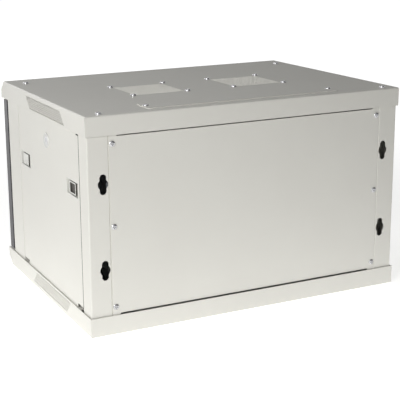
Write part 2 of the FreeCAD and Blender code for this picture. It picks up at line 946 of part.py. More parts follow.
def door_frame():
    """Door frame folded from sheet: face, edges and return, with its window."""
    outer = block(-body_x, body_x, door_front, door_back, door_bottom, door_top)
    corners = edges_on(outer, lambda p: same(p.y, door_front))
    outer = outer.makeFillet(door_edge, corners)
    inner = block(
        -body_x + sheet,
        body_x - sheet,
        door_front + sheet,
        door_back - sheet,
        door_bottom + sheet,
        door_top - sheet,
    )
    corners = edges_on(inner, lambda p: same(p.y, door_front + sheet))
    inner = inner.makeChamfer(chamfer_for(door_edge - sheet), corners)
    window = block(
        -body_x + stile,
        body_x - stile,
        door_front - 1,
        door_back,
        door_bottom + door_rail,
        door_top - door_rail,
    )
    open_back = block(
        -body_x + door_return,
        body_x - door_return,
        door_back - 2 * sheet,
        door_back + 1,
        door_bottom + door_return,
        door_top - door_return,
    )
    tools = [inner, window, open_back]
    tools.append(prism(V(hinge_x, hinge_y, 0), UP, bore_sides, pin_radius + running, height))
    seat = V(door_lock_x, door_front - 1, mid_height)
    tools.append(prism(seat, OUT_Y, barrel_flats, lock_barrel + running, 3 * sheet))
    return pierced(outer, tools)


def glass_edges():
    """Half width, bottom and top of the glass."""
    return (
        body_x - stile + glass_lap,
        door_bottom + door_rail - glass_lap,
        door_top - door_rail + glass_lap,
    )


def door_glass():
    """Toughened glass behind the window."""
    half, low, high = glass_edges()
    face = door_front + sheet
    return block(-half, half, face, face + glass_thick, low, high)


def glass_strips():
    """Four angle strips that hold the glass against the frame."""
    half, low, high = glass_edges()
    face = door_front + sheet
    back = face + glass_thick + panel_sheet
    edge = half + play
    level = high + play
    side_line = [(edge + panel_sheet, face), (edge + panel_sheet, back), (edge - strip_cover, back)]
    top_line = [(back, level - strip_cover), (back, level + panel_sheet), (face, level + panel_sheet)]
    right = folded_up(side_line, panel_sheet, low, high)
    reach = edge - strip_cover - play
    top = folded_across(top_line, panel_sheet, -reach, reach)
    bottom = top.mirror(V(0, 0, (low + high) / 2), UP)
    return Part.makeCompound([right, other_side(right), top, bottom])


def hinge_pins():
    """Two pins, each with a head inside the door frame."""
    inside = door_top - sheet
    end = lid_under + 2 * sheet
    pin = joined(
        [
            rod(V(hinge_x, hinge_y, inside - pin_head_thick), UP, pin_radius, end - inside + pin_head_thick),
            prism(V(hinge_x, hinge_y, inside - pin_head_thick), UP, 6, pin_head, pin_head_thick),
        ]
    )
    return Part.makeCompound([pin, upside_down(pin)])


def door_bushes():
    """Flanged bushes in the lips of the lid and of the base."""
    inner = pin_radius + running
    under = V(hinge_x, hinge_y, lid_under - bush_rim_thick)
    sleeve = prism(V(hinge_x, hinge_y, lid_under), UP, bush_sides, inner + bush_wall, 2 * sheet)
    rim = prism(under, UP, bush_sides, bush_rim, bush_rim_thick)
    hole = prism(under - UP, UP, bore_sides, inner, 4 * sheet)
    bush = joined([sleeve, rim]).cut(hole)
    return Part.makeCompound([bush, upside_down(bush)])


# Cam locks, made along +X from the origin and then put in place


def lock_parts(length, cam_length, sweep):
    """Barrel, core and cam of a lock. The face is at 0 and the lock runs to -length."""
    rim = prism(V(0, 0, 0), OUT_X, rim_sides, lock_rim, lock_rim_thick)
    barrel = joined([rim, prism(V(-length, 0, 0), OUT_X, barrel_flats, lock_barrel, length)])
    bore_length = length + lock_rim_thick + 2
    barrel = barrel.cut(prism(V(-length - 1, 0, 0), OUT_X, bore_sides, lock_core + running, bore_length))
    face = lock_rim_thick / 2
    cam_x = -length - play - cam_thick
    core = rod(V(-length - play, 0, 0), OUT_X, lock_core, face + length + play)
    core = joined([core, prism(V(cam_x, 0, 0), OUT_X, 4, lock_tail, cam_thick)])
    slot = block(
        face - key_slot_depth,
        face + 1,
        -key_slot_width / 2,
        key_slot_width / 2,
        -key_slot_length / 2,
        key_slot_length / 2,
    )
    core = core.cut(slot)
    plate = obround(
        V(cam_x + cam_thick / 2, 0, (cam_length - cam_width / 2) / 2),
        UP,
        OUT_X,
        cam_length + cam_width / 2,
        cam_width / 2,
        cam_thick,
        cam_sides,
    )
    plate = plate.cut(prism(V(cam_x - 1, 0, 0), OUT_X, 4, lock_tail, cam_thick + 2))
    plate.rotate(V(0, 0, 0), OUT_X, sweep)
    return barrel, core, plate


def side_lock(part, side):
    """Barrel, core or cam of a side panel lock. The cam rests sideways."""
    length = body_x - side_cam_x - cam_thick - play
    shape = lock_parts(length, side_cam, 90.0)[part]
    shape.translate(V(body_x, panel_centre, lock_height))
    return shape if side > 0 else other_side(shape)


def door_lock(part):
    """Barrel, core or cam of the door lock. The cam rests upright."""
    length = door_cam_y - play - door_front
    shape = lock_parts(length, door_cam, 0.0)[part]
    shape.rotate(V(0, 0, 0), UP, -90)
    shape.translate(V(door_lock_x, door_front, mid_height))
    return shape


# Side panels


def side_panel():
    """Right side panel: a folded tray with hooks, latch pockets and a lock hole."""
    outer = block(stop_x, body_x, panel_front, panel_rear, panel_bottom, panel_top)
    outer = outer.makeFillet(bend + panel_sheet, edges_on(outer, lambda p: same(p.x, body_x)))
    inner = block(
        stop_x - 1,
        body_x - panel_sheet,
        panel_front + panel_sheet,
        panel_rear - panel_sheet,
        panel_bottom + panel_sheet,
        panel_top - panel_sheet,
    )
    bends = edges_on(inner, lambda p: same(p.x, body_x - panel_sheet))
    inner = inner.makeChamfer(chamfer_for(bend), bends)
    panel = outer.cut(inner)
    hooks = []
    for end in (-1, 1):
        middle = panel_centre + end * hook_offset
        hooks.append(
            block(
                body_x - panel_sheet,
                body_x,
                middle - hook_width / 2,
                middle + hook_width / 2,
                panel_bottom - hook_drop,
                panel_bottom + bend + 2 * panel_sheet,
            )
        )
    panel = joined([panel] + hooks)
    tools = []
    for end in (-1, 1):
        y = panel_centre + end * latch_offset
        tools.append(
            block(
                body_x - 3 * panel_sheet,
                body_x + 1,
                y - pocket_length / 2,
                y + pocket_length / 2,
                latch_height - pocket_height / 2,
                latch_height + pocket_height / 2,
            )
        )
    tools.append(
        block(
            stop_x - 1,
            body_x + 1,
            panel_rear - corner_notch,
            panel_rear + 1,
            panel_top - corner_notch,
            panel_top + 1,
        )
    )
    seat = V(body_x - 3 * panel_sheet, panel_centre, lock_height)
    tools.append(prism(seat, OUT_X, barrel_flats, lock_barrel + running, 6 * panel_sheet))
    return pierced(panel, tools)


def latch_housing(end):
    """Cup that sits in the right panel, with a slotted floor for the slider."""
    y = panel_centre + end * latch_offset
    half_y = pocket_length / 2
    half_z = pocket_height / 2
    floor = body_x - pocket_depth
    back = body_x - panel_sheet
    cup = block(floor, body_x, y - half_y, y + half_y, latch_height - half_z, latch_height + half_z)
    rim = block(
        back - pocket_wall,
        back,
        y - half_y - rim_reach,
        y + half_y + rim_reach,
        latch_height - half_z - rim_reach,
        latch_height + half_z + rim_reach,
    )
    hollow = block(
        floor + pocket_wall,
        body_x + 1,
        y - half_y + pocket_wall,
        y + half_y - pocket_wall,
        latch_height - half_z + pocket_wall,
        latch_height + half_z - pocket_wall,
    )
    near = y + end * (-neck_length / 2 - play)
    far = y + end * (neck_length / 2 + latch_travel + play)
    slot = block(
        floor - 1,
        floor + 2 * pocket_wall,
        min(near, far),
        max(near, far),
        latch_height - neck_height / 2 - play,
        latch_height + neck_height / 2 + play,
    )
    return pierced(joined([cup, rim]), [hollow, slot])


def latch_slider(end):
    """Thumb pad, neck and bolt of one latch, drawn back at rest."""
    y = panel_centre + end * latch_offset
    floor = body_x - pocket_depth
    face = floor + pocket_wall + play
    pad = block(
        face,
        face + thumb_thick,
        y - thumb_length / 2,
        y + thumb_length / 2,
        latch_height - thumb_height / 2,
        latch_height + thumb_height / 2,
    )
    grips = []
    for rib in (-1, 0, 1):
        middle = y + rib * grip_pitch
        grips.append(
            block(
                face + thumb_thick - grip_depth,
                face + thumb_thick + 1,
                middle - grip_width / 2,
                middle + grip_width / 2,
                latch_height - thumb_height / 2 + grip_width,
                latch_height + thumb_height / 2 - grip_width,
            )
        )
    pad = pierced(pad, grips)
    inner = stop_x - sheet - play
    neck = block(
        inner - bolt_thick,
        face + 1,
        y - neck_length / 2,
        y + neck_length / 2,
        latch_height - neck_height / 2,
        latch_height + neck_height / 2,
    )
    tip = panel_centre + end * ((panel_rear - panel_front) / 2 + seam - stop_flange - 2 * play)
    bolt = block(
        inner - bolt_thick,
        inner,
        min(y - end * neck_length / 2, tip),
        max(y - end * neck_length / 2, tip),
        latch_height - bolt_height / 2,
        latch_height + bolt_height / 2,
    )
    return joined([pad, neck, bolt])


# Fasteners, grouped by what they hold


def rail_bolts():
    """Bolts, each with its nut, that hold the rack rails to the side beams."""
    bolts = []
    for side in (-1, 1):
        inward = V(-side, 0, 0)
        for y in (front_rail_y + rail_leg / 2, rear_rail_y - rail_leg / 2):
            for z in beam_heights():
                bolt = hex_bolt(V(side * (beam_x - sheet), y, z), inward, 2 * sheet + nut_thick)
                nut = prism(V(side * (beam_x + sheet), y, z), -inward, 6, bolt_head, nut_thick)
                bolts.append(joined([bolt, nut]))
    return Part.makeCompound(bolts)


def beam_bolts():
    """Bolts that hold the side beams to the uprights."""
    bolts = []
    bolt_x = step_x - beam_bolt_inset
    for side in (-1, 1):
        for z in beam_heights():
            front = V(side * bolt_x, front_flange_y, z)
            rear = V(side * bolt_x, beam_rear - sheet, z)
            bolts.append(hex_bolt(front, -OUT_Y, screw_length))
            bolts.append(hex_bolt(rear, -OUT_Y, 2 * sheet - hole_clear))
    return Part.makeCompound(bolts)


def cable_screws():
    """Screws of the two cable entry covers."""
    upper = [pan_screw(point, UP) for point in cable_screw_points(height + sheet)]
    lower = [pan_screw(point, UP, 2 * sheet - 0.3) for point in cable_screw_points(2 * sheet)]
    return Part.makeCompound(upper + lower)


def all_parts():
    """Every piece of the cabinet under its own name."""
    parts = {
        "top_cover": top_cover(),
        "base_pan": base_pan(),
        "rear_upright_right": rear_upright(),
        "rear_upright_left": other_side(rear_upright()),
        "front_upright_right": front_upright(True),
        "front_upright_left": other_side(front_upright(False)),
        "back_panel": back_panel(),
        "top_cable_cover": cable_cover(height, sheet),
        "base_cable_cover": cable_cover(sheet, sheet),
        "door_frame": door_frame(),
        "door_glass": door_glass(),
        "glass_strips": glass_strips(),
        "door_hinge_pins": hinge_pins(),
        "door_bushes": door_bushes(),
        "rail_bolts": rail_bolts(),
        "beam_bolts": beam_bolts(),
        "cable_cover_screws": cable_screws(),
    }
    lower_beam, upper_beam = [side_beam(z) for z in beam_heights()]
    parts["side_beam_lower_right"] = lower_beam
    parts["side_beam_upper_right"] = upper_beam
    parts["side_beam_lower_left"] = other_side(lower_beam)
    parts["side_beam_upper_left"] = other_side(upper_beam)
    for place, face_y, facing in (("front", front_rail_y, -1), ("rear", rear_rail_y, 1)):
        rail = rack_rail(face_y, facing)
        parts["rack_rail_" + place + "_right"] = rail
        parts["rack_rail_" + place + "_left"] = other_side(rail)
    vent = vent_plate()
    parts["lid_vent_right"] = vent
    parts["lid_vent_left"] = other_side(vent)
    parts["base_vent_right"] = upside_down(vent)
    parts["base_vent_left"] = other_side(upside_down(vent))
    panel = side_panel()
    parts["side_panel_right"] = panel
    parts["side_panel_left"] = other_side(panel)
    for name, side in (("left", -1), ("right", 1)):
        parts["fan_grille_" + name] = fan_grille(side)
        parts["fan_housing_" + name] = fan_housing(side)
        parts["fan_rotor_" + name] = fan_rotor(side)
        for index, piece in enumerate(("barrel", "core", "cam")):
            parts["side_lock_" + piece + "_" + name] = side_lock(index, side)
    for index, piece in enumerate(("barrel", "core", "cam")):
        parts["door_lock_" + piece] = door_lock(index)
    for place, end in (("front", -1), ("rear", 1)):
        housing = latch_housing(end)
        slider = latch_slider(end)
        parts["latch_housing_" + place + "_right"] = housing
        parts["latch_housing_" + place + "_left"] = other_side(housing)
        parts["latch_slider_" + place + "_right"] = slider
        parts["latch_slider_" + place + "_left"] = other_side(slider)
    parts["lid_screws"] = Part.makeCompound([pan_screw(p, UP) for p in corner_screw_points(height)])
    parts["base_screws"] = Part.makeCompound([flush_screw(p, -UP) for p in corner_screw_points(0)])
    parts["fan_screws"] = Part.makeCompound(
        [pan_screw(p, UP) for side in (-1, 1) for p in fan_screw_points(side, height)]
    )
    parts["back_panel_screws"] = Part.makeCompound([pan_screw(p, OUT_Y) for p in back_screw_points()])
    return parts


def write_parts():
    """Write each piece to its own STEP file."""
    os.makedirs("parts", exist_ok=True)
    for name, shape in sorted(all_parts().items()):
        shape.exportStep(os.path.join("parts", name + ".step"))


write_parts()
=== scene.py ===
import math

import bmesh
import bpy
import numpy as np
from mathutils import Matrix, Vector


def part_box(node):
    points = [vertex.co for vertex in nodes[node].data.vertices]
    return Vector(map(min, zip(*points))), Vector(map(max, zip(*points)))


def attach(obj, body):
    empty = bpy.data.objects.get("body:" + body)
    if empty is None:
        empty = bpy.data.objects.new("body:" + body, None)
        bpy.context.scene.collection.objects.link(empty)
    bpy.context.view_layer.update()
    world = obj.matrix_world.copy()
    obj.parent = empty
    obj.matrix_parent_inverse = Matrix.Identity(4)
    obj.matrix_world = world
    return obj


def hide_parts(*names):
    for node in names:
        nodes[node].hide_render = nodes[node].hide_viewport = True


# The looks of a wall mounted network cabinet. Lengths are in millimetres here
# and become metres when a mesh is made. +Y is the wall side, +Z is up.

MM = 0.001

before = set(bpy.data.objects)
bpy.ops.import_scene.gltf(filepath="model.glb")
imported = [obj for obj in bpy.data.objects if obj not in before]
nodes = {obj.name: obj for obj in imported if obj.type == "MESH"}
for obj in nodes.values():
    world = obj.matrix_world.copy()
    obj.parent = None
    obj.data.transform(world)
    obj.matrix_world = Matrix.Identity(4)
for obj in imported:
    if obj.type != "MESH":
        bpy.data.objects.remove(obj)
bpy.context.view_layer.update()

RIGHT = np.array([1.0, 0.0, 0.0])
BACK = np.array([0.0, 1.0, 0.0])
UP = np.array([0.0, 0.0, 1.0])
SIGNS = (-1, 1)
SIDES = (("left", -1), ("right", 1))


# Sizes of the cabinet that the new pieces stand on, from the frame


def corners_of(node):
    """The lowest and the highest corner of a CAD node, in millimetres."""
    return [np.round(np.array(corner) / MM, 3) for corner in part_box(node)]


def middle_of(node):
    """The middle of a CAD node's box, in millimetres."""
    low, high = corners_of(node)
    return np.round((low + high) / 2, 3)


SKIRT_X, SKIRT_BACK, HEIGHT = corners_of("top_cover")[1]
BODY_X = corners_of("side_panel_right")[1][0]
BODY_BACK = corners_of("back_panel")[1][1]
DOOR_FACE = corners_of("door_frame")[0][1]
MID_Y = middle_of("side_panel_right")[1]
MID_Z = HEIGHT / 2

FIELD_LOW, FIELD_HIGH = corners_of("fan_grille_right")
FIELD = FIELD_HIGH[0] - FIELD_LOW[0]
SHEET = FIELD_HIGH[2] - FIELD_LOW[2]
FAN_LOW, FAN_HIGH = corners_of("fan_housing_right")
FAN_THICK = FAN_HIGH[2] - FAN_LOW[2]
FAN_X, FAN_Y = middle_of("fan_housing_right")[:2]
FAN_PITCH = 105.0


# Colours and finishes

CLOUDS_PER_METRE = 9.0
CLOUD_DETAIL = 4.0
GRAIN_DETAIL = 3.0


def linear(hex_colour):
    """A colour written as sRGB hex, as the linear values that a shader takes."""
    parts = [int(hex_colour[i:i + 2], 16) / 255 for i in (1, 3, 5)]
    return [c / 12.92 if c <= 0.04045 else ((c + 0.055) / 1.055) ** 2.4 for c in parts] + [1.0]


def add(tree, kind, inputs=None, **settings):
    """Add one node. An input that is another node's socket is linked, any other value is set."""
    node = tree.nodes.new(kind)
    for name, value in settings.items():
        setattr(node, name, value)
    for name, value in (inputs or {}).items():
        if isinstance(value, bpy.types.NodeSocket):
            tree.links.new(value, node.inputs[name])
        else:
            node.inputs[name].default_value = value
    return node


def finish_material(name, dark, light, grain_mm, relief_mm, shader):
    """A finish whose colour wanders between two near shades and whose surface has a fine grain.

    The grain is noise in object space, grain_mm across and relief_mm high.
    """
    material = bpy.data.materials.new(name)
    material.use_nodes = True
    tree = material.node_tree
    tree.nodes.clear()
    place = add(tree, "ShaderNodeTexCoord").outputs["Object"]
    cloud = add(
        tree,
        "ShaderNodeTexNoise",
        {"Vector": place, "Scale": CLOUDS_PER_METRE, "Detail": CLOUD_DETAIL},
    )
    shade = add(
        tree,
        "ShaderNodeMix",
        {0: cloud.outputs[0], 6: linear(dark), 7: linear(light)},
        data_type="RGBA",
    )
    grain = add(
        tree,
        "ShaderNodeTexNoise",
        {"Vector": place, "Scale": 1 / (grain_mm * MM), "Detail": GRAIN_DETAIL},
    )
    bump = add(
        tree,
        "ShaderNodeBump",
        {"Height": grain.outputs[0], "Strength": 1.0, "Distance": relief_mm * MM},
    )
    surface = add(
        tree,
        "ShaderNodeBsdfPrincipled",
        {"Base Color": shade.outputs[2], "Normal": bump.outputs[0], **shader},
    )
    add(tree, "ShaderNodeOutputMaterial", {"Surface": surface.outputs[0]})
    return material


# Polyester powder coat: a satin sheen broken up by orange peel about a millimetre across.
light_grey_powder_coat = finish_material(
    "light_grey_powder_coat", "#dcdad3", "#e2e1da", 1.3, 0.05, {"Roughness": 0.42}
)
# The door's darker coat of the same powder, as satin as the body's.
dark_grey_powder_coat = finish_material(
    "dark_grey_powder_coat", "#3f3e42", "#464549", 1.3, 0.05, {"Roughness": 0.42}
)
# Zinc plating over rolled steel: cool, fairly bright, with soft blurred reflections.
zinc_plated_steel = finish_material(
    "zinc_plated_steel", "#b4b8bd", "#cbced1", 3.0, 0.02, {"Metallic": 1.0, "Roughness": 0.34}
)
# Bright plating on small turned parts: clear highlights beside dark reflections.
nickel_plated_steel = finish_material(
    "nickel_plated_steel", "#c6c6c8", "#d4d4d6", 2.0, 0.004, {"Metallic": 1.0, "Roughness": 0.14}
)
# The same plating over a die casting's satin skin: a soft grey glow with no clear reflection.
satin_plated_casting = finish_material(
    "satin_plated_casting", "#cfcfcc", "#d6d6d3", 0.9, 0.02, {"Metallic": 0.7, "Roughness": 0.46}
)
# Punched sheet under the same powder, painted a shade lighter than the body: painted light for the lit
# walls of its holes.
punched_sheet_painted_light = finish_material(
    "punched_sheet_painted_light", "#faf8ef", "#fcfbf4", 1.3, 0.05, {"Roughness": 0.5}
)
# The lid vents' sheet under the same powder, painted a shade darker than the body: painted shade for the
# shade in its fine holes.
vent_sheet_painted_shade = finish_material(
    "vent_sheet_painted_shade", "#cdcbc4", "#d3d1cb", 1.3, 0.05, {"Roughness": 0.5}
)
# Thumb cores of the latches, painted near black: painted shade for the dark well inside each latch. Matt,
# with a fine grain.
dark_moulding = finish_material(
    "dark_moulding", "#45433f", "#4d4b46", 0.5, 0.03, {"Roughness": 0.55, "IOR": 1.5}
)
# Near black and dead matt: painted shade for the dark gap behind the side panels and the open notch in
# their upper rear corners.
seam_painted_shade = finish_material(
    "seam_painted_shade", "#1e1e1d", "#272726", 0.9, 0.06, {"Roughness": 0.85, "IOR": 1.5}
)
# Toughened glass tinted grey all through: a clear dark view in, with sharp reflections.
smoked_glass = finish_material(
    "smoked_glass",
    "#5a5e61",
    "#5f6366",
    40.0,
    0.002,
    {"Roughness": 0.02, "IOR": 1.52, "Transmission Weight": 1.0},
)
# Glass filled black plastic of the fans: dull, with a fine moulded grain.
black_plastic = finish_material(
    "black_plastic", "#1b1b1c", "#232324", 0.6, 0.03, {"Roughness": 0.55, "IOR": 1.5}
)
# Light grey moulded plastic of the latches: close to the panel's grey, a little cooler and shinier.
grey_plastic = finish_material(
    "grey_plastic", "#dadad4", "#dfdfda", 0.5, 0.02, {"Roughness": 0.38, "IOR": 1.5}
)
# Natural nylon of the hinge bushes: creamy, and light goes a little way into it.
natural_nylon = finish_material(
    "natural_nylon",
    "#e6e2d3",
    "#ebe8db",
    0.8,
    0.02,
    {"Roughness": 0.45, "IOR": 1.53, "Subsurface Weight": 0.2, "Subsurface Scale": 0.002},
)

FINISH = {
    "light_grey_powder_coat": light_grey_powder_coat,
    "dark_grey_powder_coat": dark_grey_powder_coat,
    "zinc_plated_steel": zinc_plated_steel,
    "nickel_plated_steel": nickel_plated_steel,
    "smoked_glass": smoked_glass,
    "black_plastic": black_plastic,
    "grey_plastic": grey_plastic,
    "natural_nylon": natural_nylon,
}


def finish_of(node):
    """The finish that a piece of the cabinet has."""
    if node == "door_frame":
        return "dark_grey_powder_coat"
    if node == "door_glass":
        return "smoked_glass"
    if node == "door_bushes":
        return "natural_nylon"
    if node.startswith(("fan_housing", "fan_rotor")):
        return "black_plastic"
    if node.startswith("latch"):
        return "grey_plastic"
    if node.startswith(("rack_rail", "side_beam", "rail_bolts", "beam_bolts", "glass_strips")):
        return "zinc_plated_steel"
    if "screws" in node or "lock" in node or node == "door_hinge_pins":
        return "nickel_plated_steel"
    return "light_grey_powder_coat"


for name, node in nodes.items():
    node.data.materials.clear()
    node.data.materials.append(FINISH[finish_of(name)])


# Surfaces worked out as grids of points


def grid_faces(rows, columns):
    """Quads of a grid of points, row after row, whose last column joins its first."""
    row, column = np.meshgrid(np.arange(rows - 1), np.arange(columns), indexing="ij")
    after = (column + 1) % columns
    corners = [row * columns + column, row * columns + after]
    corners += [(row + 1) * columns + after, (row + 1) * columns + column]
    return np.stack(corners, -1).reshape(-1, 4)


def turned(radii, heights, steps):
    """A profile turned about +Z: the point at radius r, height h and angle a is (r cos a, r sin a, h)."""
    angle = np.arange(steps) * 2 * np.pi / steps
    points = np.empty((len(radii), steps, 3))
    points[..., 0] = np.outer(radii, np.cos(angle))
    points[..., 1] = np.outer(radii, np.sin(angle))
    points[..., 2] = np.asarray(heights, float)[:, None]
    return points


def stood(points, seat, axis):
    """Points turned so that their +Z lies along an axis, and moved to a seat."""
    axis = np.asarray(axis, float)
    helper = RIGHT if abs(axis[2]) > 0.5 else UP
    across = np.cross(helper, axis)
    across /= np.linalg.norm(across)
    basis = np.stack([across, np.cross(axis, across), axis])
    return points @ basis + np.asarray(seat, float)


def eased_box(low, high, ease):
    """A box between two corners: four rectangles stacked along z, the first and last inset by the ease."""
    low, high = np.asarray(low, float), np.asarray(high, float)
    inset = np.array([ease, 0.0, 0.0, ease])
    level = np.array([low[2], low[2] + ease, high[2] - ease, high[2]])
    x = np.stack([low[0] + inset, high[0] - inset, high[0] - inset, low[0] + inset], 1)
    y = np.stack([low[1] + inset, low[1] + inset, high[1] - inset, high[1] - inset], 1)
    points = np.stack([x, y, level[:, None] + 0 * x], -1)
    return points, grid_faces(4, 4).tolist() + [[3, 2, 1, 0], [12, 13, 14, 15]]


def gathered(shapes):
    """Several (points, faces) pairs as one, with their faces counted on."""
    points = []
    faces = []
    count = 0
    for shape_points, shape_faces in shapes:
        flat = np.asarray(shape_points).reshape(-1, 3)
        points.append(flat)
        faces += (np.asarray(shape_faces) + count).tolist()
        count += len(flat)
    return np.concatenate(points), faces


# Meshes, objects and pieces

CREASE = math.radians(35)
MERGE = 0.002 * MM


def placed(name, data):
    """An object made of a mesh, a lamp or a camera, put in the scene."""
    made = bpy.data.objects.new(name, data)
    bpy.context.scene.collection.objects.link(made)
    return made


def merged(mesh):
    """A mesh as an open form whose doubled points are merged."""
    form = bmesh.new()
    form.from_mesh(mesh)
    bmesh.ops.remove_doubles(form, verts=form.verts, dist=MERGE)
    return form


def piece(name, shapes, body, stands_for, finish=None, look=None):
    """Make one piece from its shapes. It rides on a body and stands for CAD nodes, if any.

    It is smooth, but for edges that turn by more than the crease. Its finish is that of the first
    node it stands for, or a named one. Its look may be a variant of that finish.
    """
    points, faces = gathered(shapes)
    mesh = bpy.data.meshes.new(name)
    mesh.from_pydata((points * MM).tolist(), [], faces)
    form = merged(mesh)
    form.normal_update()
    for face in form.faces:
        face.smooth = True
    for edge in form.edges:
        edge.smooth = len(edge.link_faces) == 2 and edge.calc_face_angle(0.0) < CREASE
    form.to_mesh(mesh)
    form.free()
    finish = finish or finish_of(stands_for[0])
    mesh.materials.append(look or FINISH[finish])
    made = placed(name, mesh)
    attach(made, body)
    if stands_for:
        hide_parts(*stands_for)


# Screws

HEAD_RADIUS = 5.1
HEAD_STEPS = 48
HEAD_EASE = 0.2
HEAD_EASE_HEIGHT = 0.15
DOME_RADIUS = HEAD_RADIUS + 0.05
DOME_STEPS = 20
RIM_SHARE = 0.45
LOW_RIM_SHARE = 0.15
SHANK = 2.0
TIP = 1.4
TIP_LENGTH = 0.6
ARM_HALF = 0.75
ARM_SLOPE = 0.3
ARM_REACH = 3.0
REACH_SLOPE = 0.5
RECESS_SHARE = 0.55


def recess_arm(across, along):
    """How deep one arm of the recess is: 1 within its half width and reach, falling to 0 at its walls."""
    width = np.clip((ARM_HALF - across) / ARM_SLOPE, 0, 1)
    return width * np.clip((ARM_REACH - along) / REACH_SLOPE, 0, 1)


def pan_screw(seat, axis, length, top, rim_share=RIM_SHARE):
    """A pan head screw with a cross recess, turned from a profile.

    The head stands straight up to its rim, and its dome is h = rim + (top - rim) sqrt(1 - (r / R)^2).
    The recess takes a share of the head's height off the dome, where a point lies in one of two
    crossed arms.
    """
    rim = rim_share * top
    profile = [
        (0.0, -length),
        (TIP, -length),
        (SHANK, TIP_LENGTH - length),
        (SHANK, 0.0),
        (HEAD_RADIUS - HEAD_EASE, 0.0),
        (HEAD_RADIUS, HEAD_EASE_HEIGHT),
        (HEAD_RADIUS, rim),
    ]
    side_radii, side_heights = np.transpose(profile)
    dome_radii = np.linspace(HEAD_RADIUS - HEAD_EASE, 0.0, DOME_STEPS)
    dome = rim + (top - rim) * np.sqrt(1 - (dome_radii / DOME_RADIUS) ** 2)
    radii = np.concatenate([side_radii, dome_radii])
    points = turned(radii, np.concatenate([side_heights, dome]), HEAD_STEPS)
    x, y = np.abs(points[..., 0]), np.abs(points[..., 1])
    arms = np.maximum(recess_arm(x, y), recess_arm(y, x))
    on_dome = np.arange(len(radii))[:, None] >= len(profile)
    points[..., 2] -= RECESS_SHARE * top * arms * on_dome
    return stood(points, seat, axis), grid_faces(len(radii), HEAD_STEPS)


def screws(name, seats, axis, top, stands_for, rim_share=RIM_SHARE):
    """A set of the same screws."""
    made = [pan_screw(seat, axis, SCREW_LENGTH, top, rim_share) for seat in seats]
    piece(name, made, "cabinet", [stands_for])


SCREW_LENGTH = 7.0
BASE_SCREW_LENGTH = 2.7
LID_HEAD = 3.6
REAR_HEAD = 2.5
COVER_HEAD = 2.1
LID_SCREW_X = 272.0
LID_SCREW_Y = 183.5
REAR_SCREW_X = 254.0
REAR_SCREW_Z = 137.0
COVER_SCREW_X = 176.5
COVER_SCREW_Y = 182.5

lid_seats = [(a * LID_SCREW_X, MID_Y + b * LID_SCREW_Y, HEIGHT) for a in SIGNS for b in SIGNS]
screws("lid_screw_set", lid_seats, UP, LID_HEAD, "lid_screws")
half = FAN_PITCH / 2
fan_seats = [
    (side * FAN_X + half * a, FAN_Y + half * b, HEIGHT)
    for side in SIGNS
    for a in SIGNS
    for b in SIGNS
]
screws("fan_screw_set", fan_seats, UP, LID_HEAD, "fan_screws")
rear_seats = [(a * REAR_SCREW_X, BODY_BACK, MID_Z + b * REAR_SCREW_Z) for a in SIGNS for b in (-1, 0, 1)]
screws("back_screw_set", rear_seats, BACK, REAR_HEAD, "back_panel_screws", LOW_RIM_SHARE)
cable_screws = []
for level, length in ((HEIGHT + SHEET, SCREW_LENGTH), (2 * SHEET, BASE_SCREW_LENGTH)):
    for side in SIGNS:
        seat = (side * COVER_SCREW_X, COVER_SCREW_Y, level)
        cable_screws.append(pan_screw(seat, UP, length, COVER_HEAD))
piece("cable_screw_set", cable_screws, "cabinet", ["cable_cover_screws"])


# Perforated sheet

CELL = (4, 2)
HALF_CELL = (2, 2)


def outline_points(columns, rows):
    """Points round a unit square, so many to a side, anticlockwise from its upper right corner."""
    corners = np.array([(0.5, 0.5), (-0.5, 0.5), (-0.5, -0.5), (0.5, -0.5), (0.5, 0.5)])
    runs = []
    for start, end, steps in zip(corners, corners[1:], (columns, rows, columns, rows)):
        share = (np.arange(steps) / steps)[:, None]
        runs.append(start + (end - start) * share)
    return np.concatenate(runs)


def spread(flat, along, up):
    """Flat points (x, y) as x along + y up."""
    return flat[:, :1] * along + flat[:, 1:] * up


def hole_edge(outline, level, upright, hole):
    """Points of a hole's edge: hole (cos a, sin a) in the directions a of the outline's points."""
    angle = np.arctan2(outline @ upright, outline @ level)
    return hole * (np.cos(angle)[:, None] * level + np.sin(angle)[:, None] * upright)


def half_cell(centre, cell_along, cell_up, back):
    """The two faces of a plain half cell at the end of a row."""
    face = centre + spread(outline_points(*HALF_CELL) * (0.5, 1.0), cell_along, cell_up)
    order = list(range(len(face)))
    return [(face, [order]), (face + back, [order[::-1]])]


def perforated_sheet(middle, along, up, columns, rows, hole, thickness):
    """A plate full of round holes, made of cells that share their outline points.

    A cell's outline is twelve points, at its corners, the quarters of its long sides and the middles of
    its short ones, so the ring between it and the hole's edge is twelve quads. Every other row is moved
    by half a cell, and its ends are then plain half cells. Plain quads close the plate's own edge.
    """
    middle, along, up = (np.asarray(vector, float) for vector in (middle, along, up))
    normal = np.cross(along, up)
    normal /= np.linalg.norm(normal)
    back = -normal * thickness
    level = along / np.linalg.norm(along)
    start = middle - along / 2 - up / 2
    cell_along, cell_up = along / columns, up / rows
    outline = spread(outline_points(*CELL), cell_along, cell_up)
    ring = hole_edge(outline, level, np.cross(normal, level), hole)
    ring_faces = grid_faces(4, len(outline))[:, ::-1]
    shapes = []
    for row in range(rows):
        moved = row % 2
        places = (np.arange(columns - moved) + 0.5 + 0.5 * moved)[:, None] * cell_along
        centres = start + places + (row + 0.5) * cell_up
        outer = centres[:, None] + outline
        inner = centres[:, None] + ring
        shapes += [(loop, ring_faces) for loop in np.stack([outer + back, inner + back, inner, outer], 1)]
        for place in (0.25, columns - 0.25) if moved else ():
            centre = start + place * cell_along + (row + 0.5) * cell_up
            shapes += half_cell(centre, cell_along, cell_up, back)
    edge = middle + spread(outline_points(CELL[0] * columns, CELL[1] * rows), along, up)
    shapes.append((np.stack([edge, edge + back]), grid_faces(2, len(edge))[:, ::-1]))
    return shapes


# Fan fields in the lid

FIELD_COLUMNS = 34
FIELD_ROWS = 38
FIELD_HOLE = 1.12


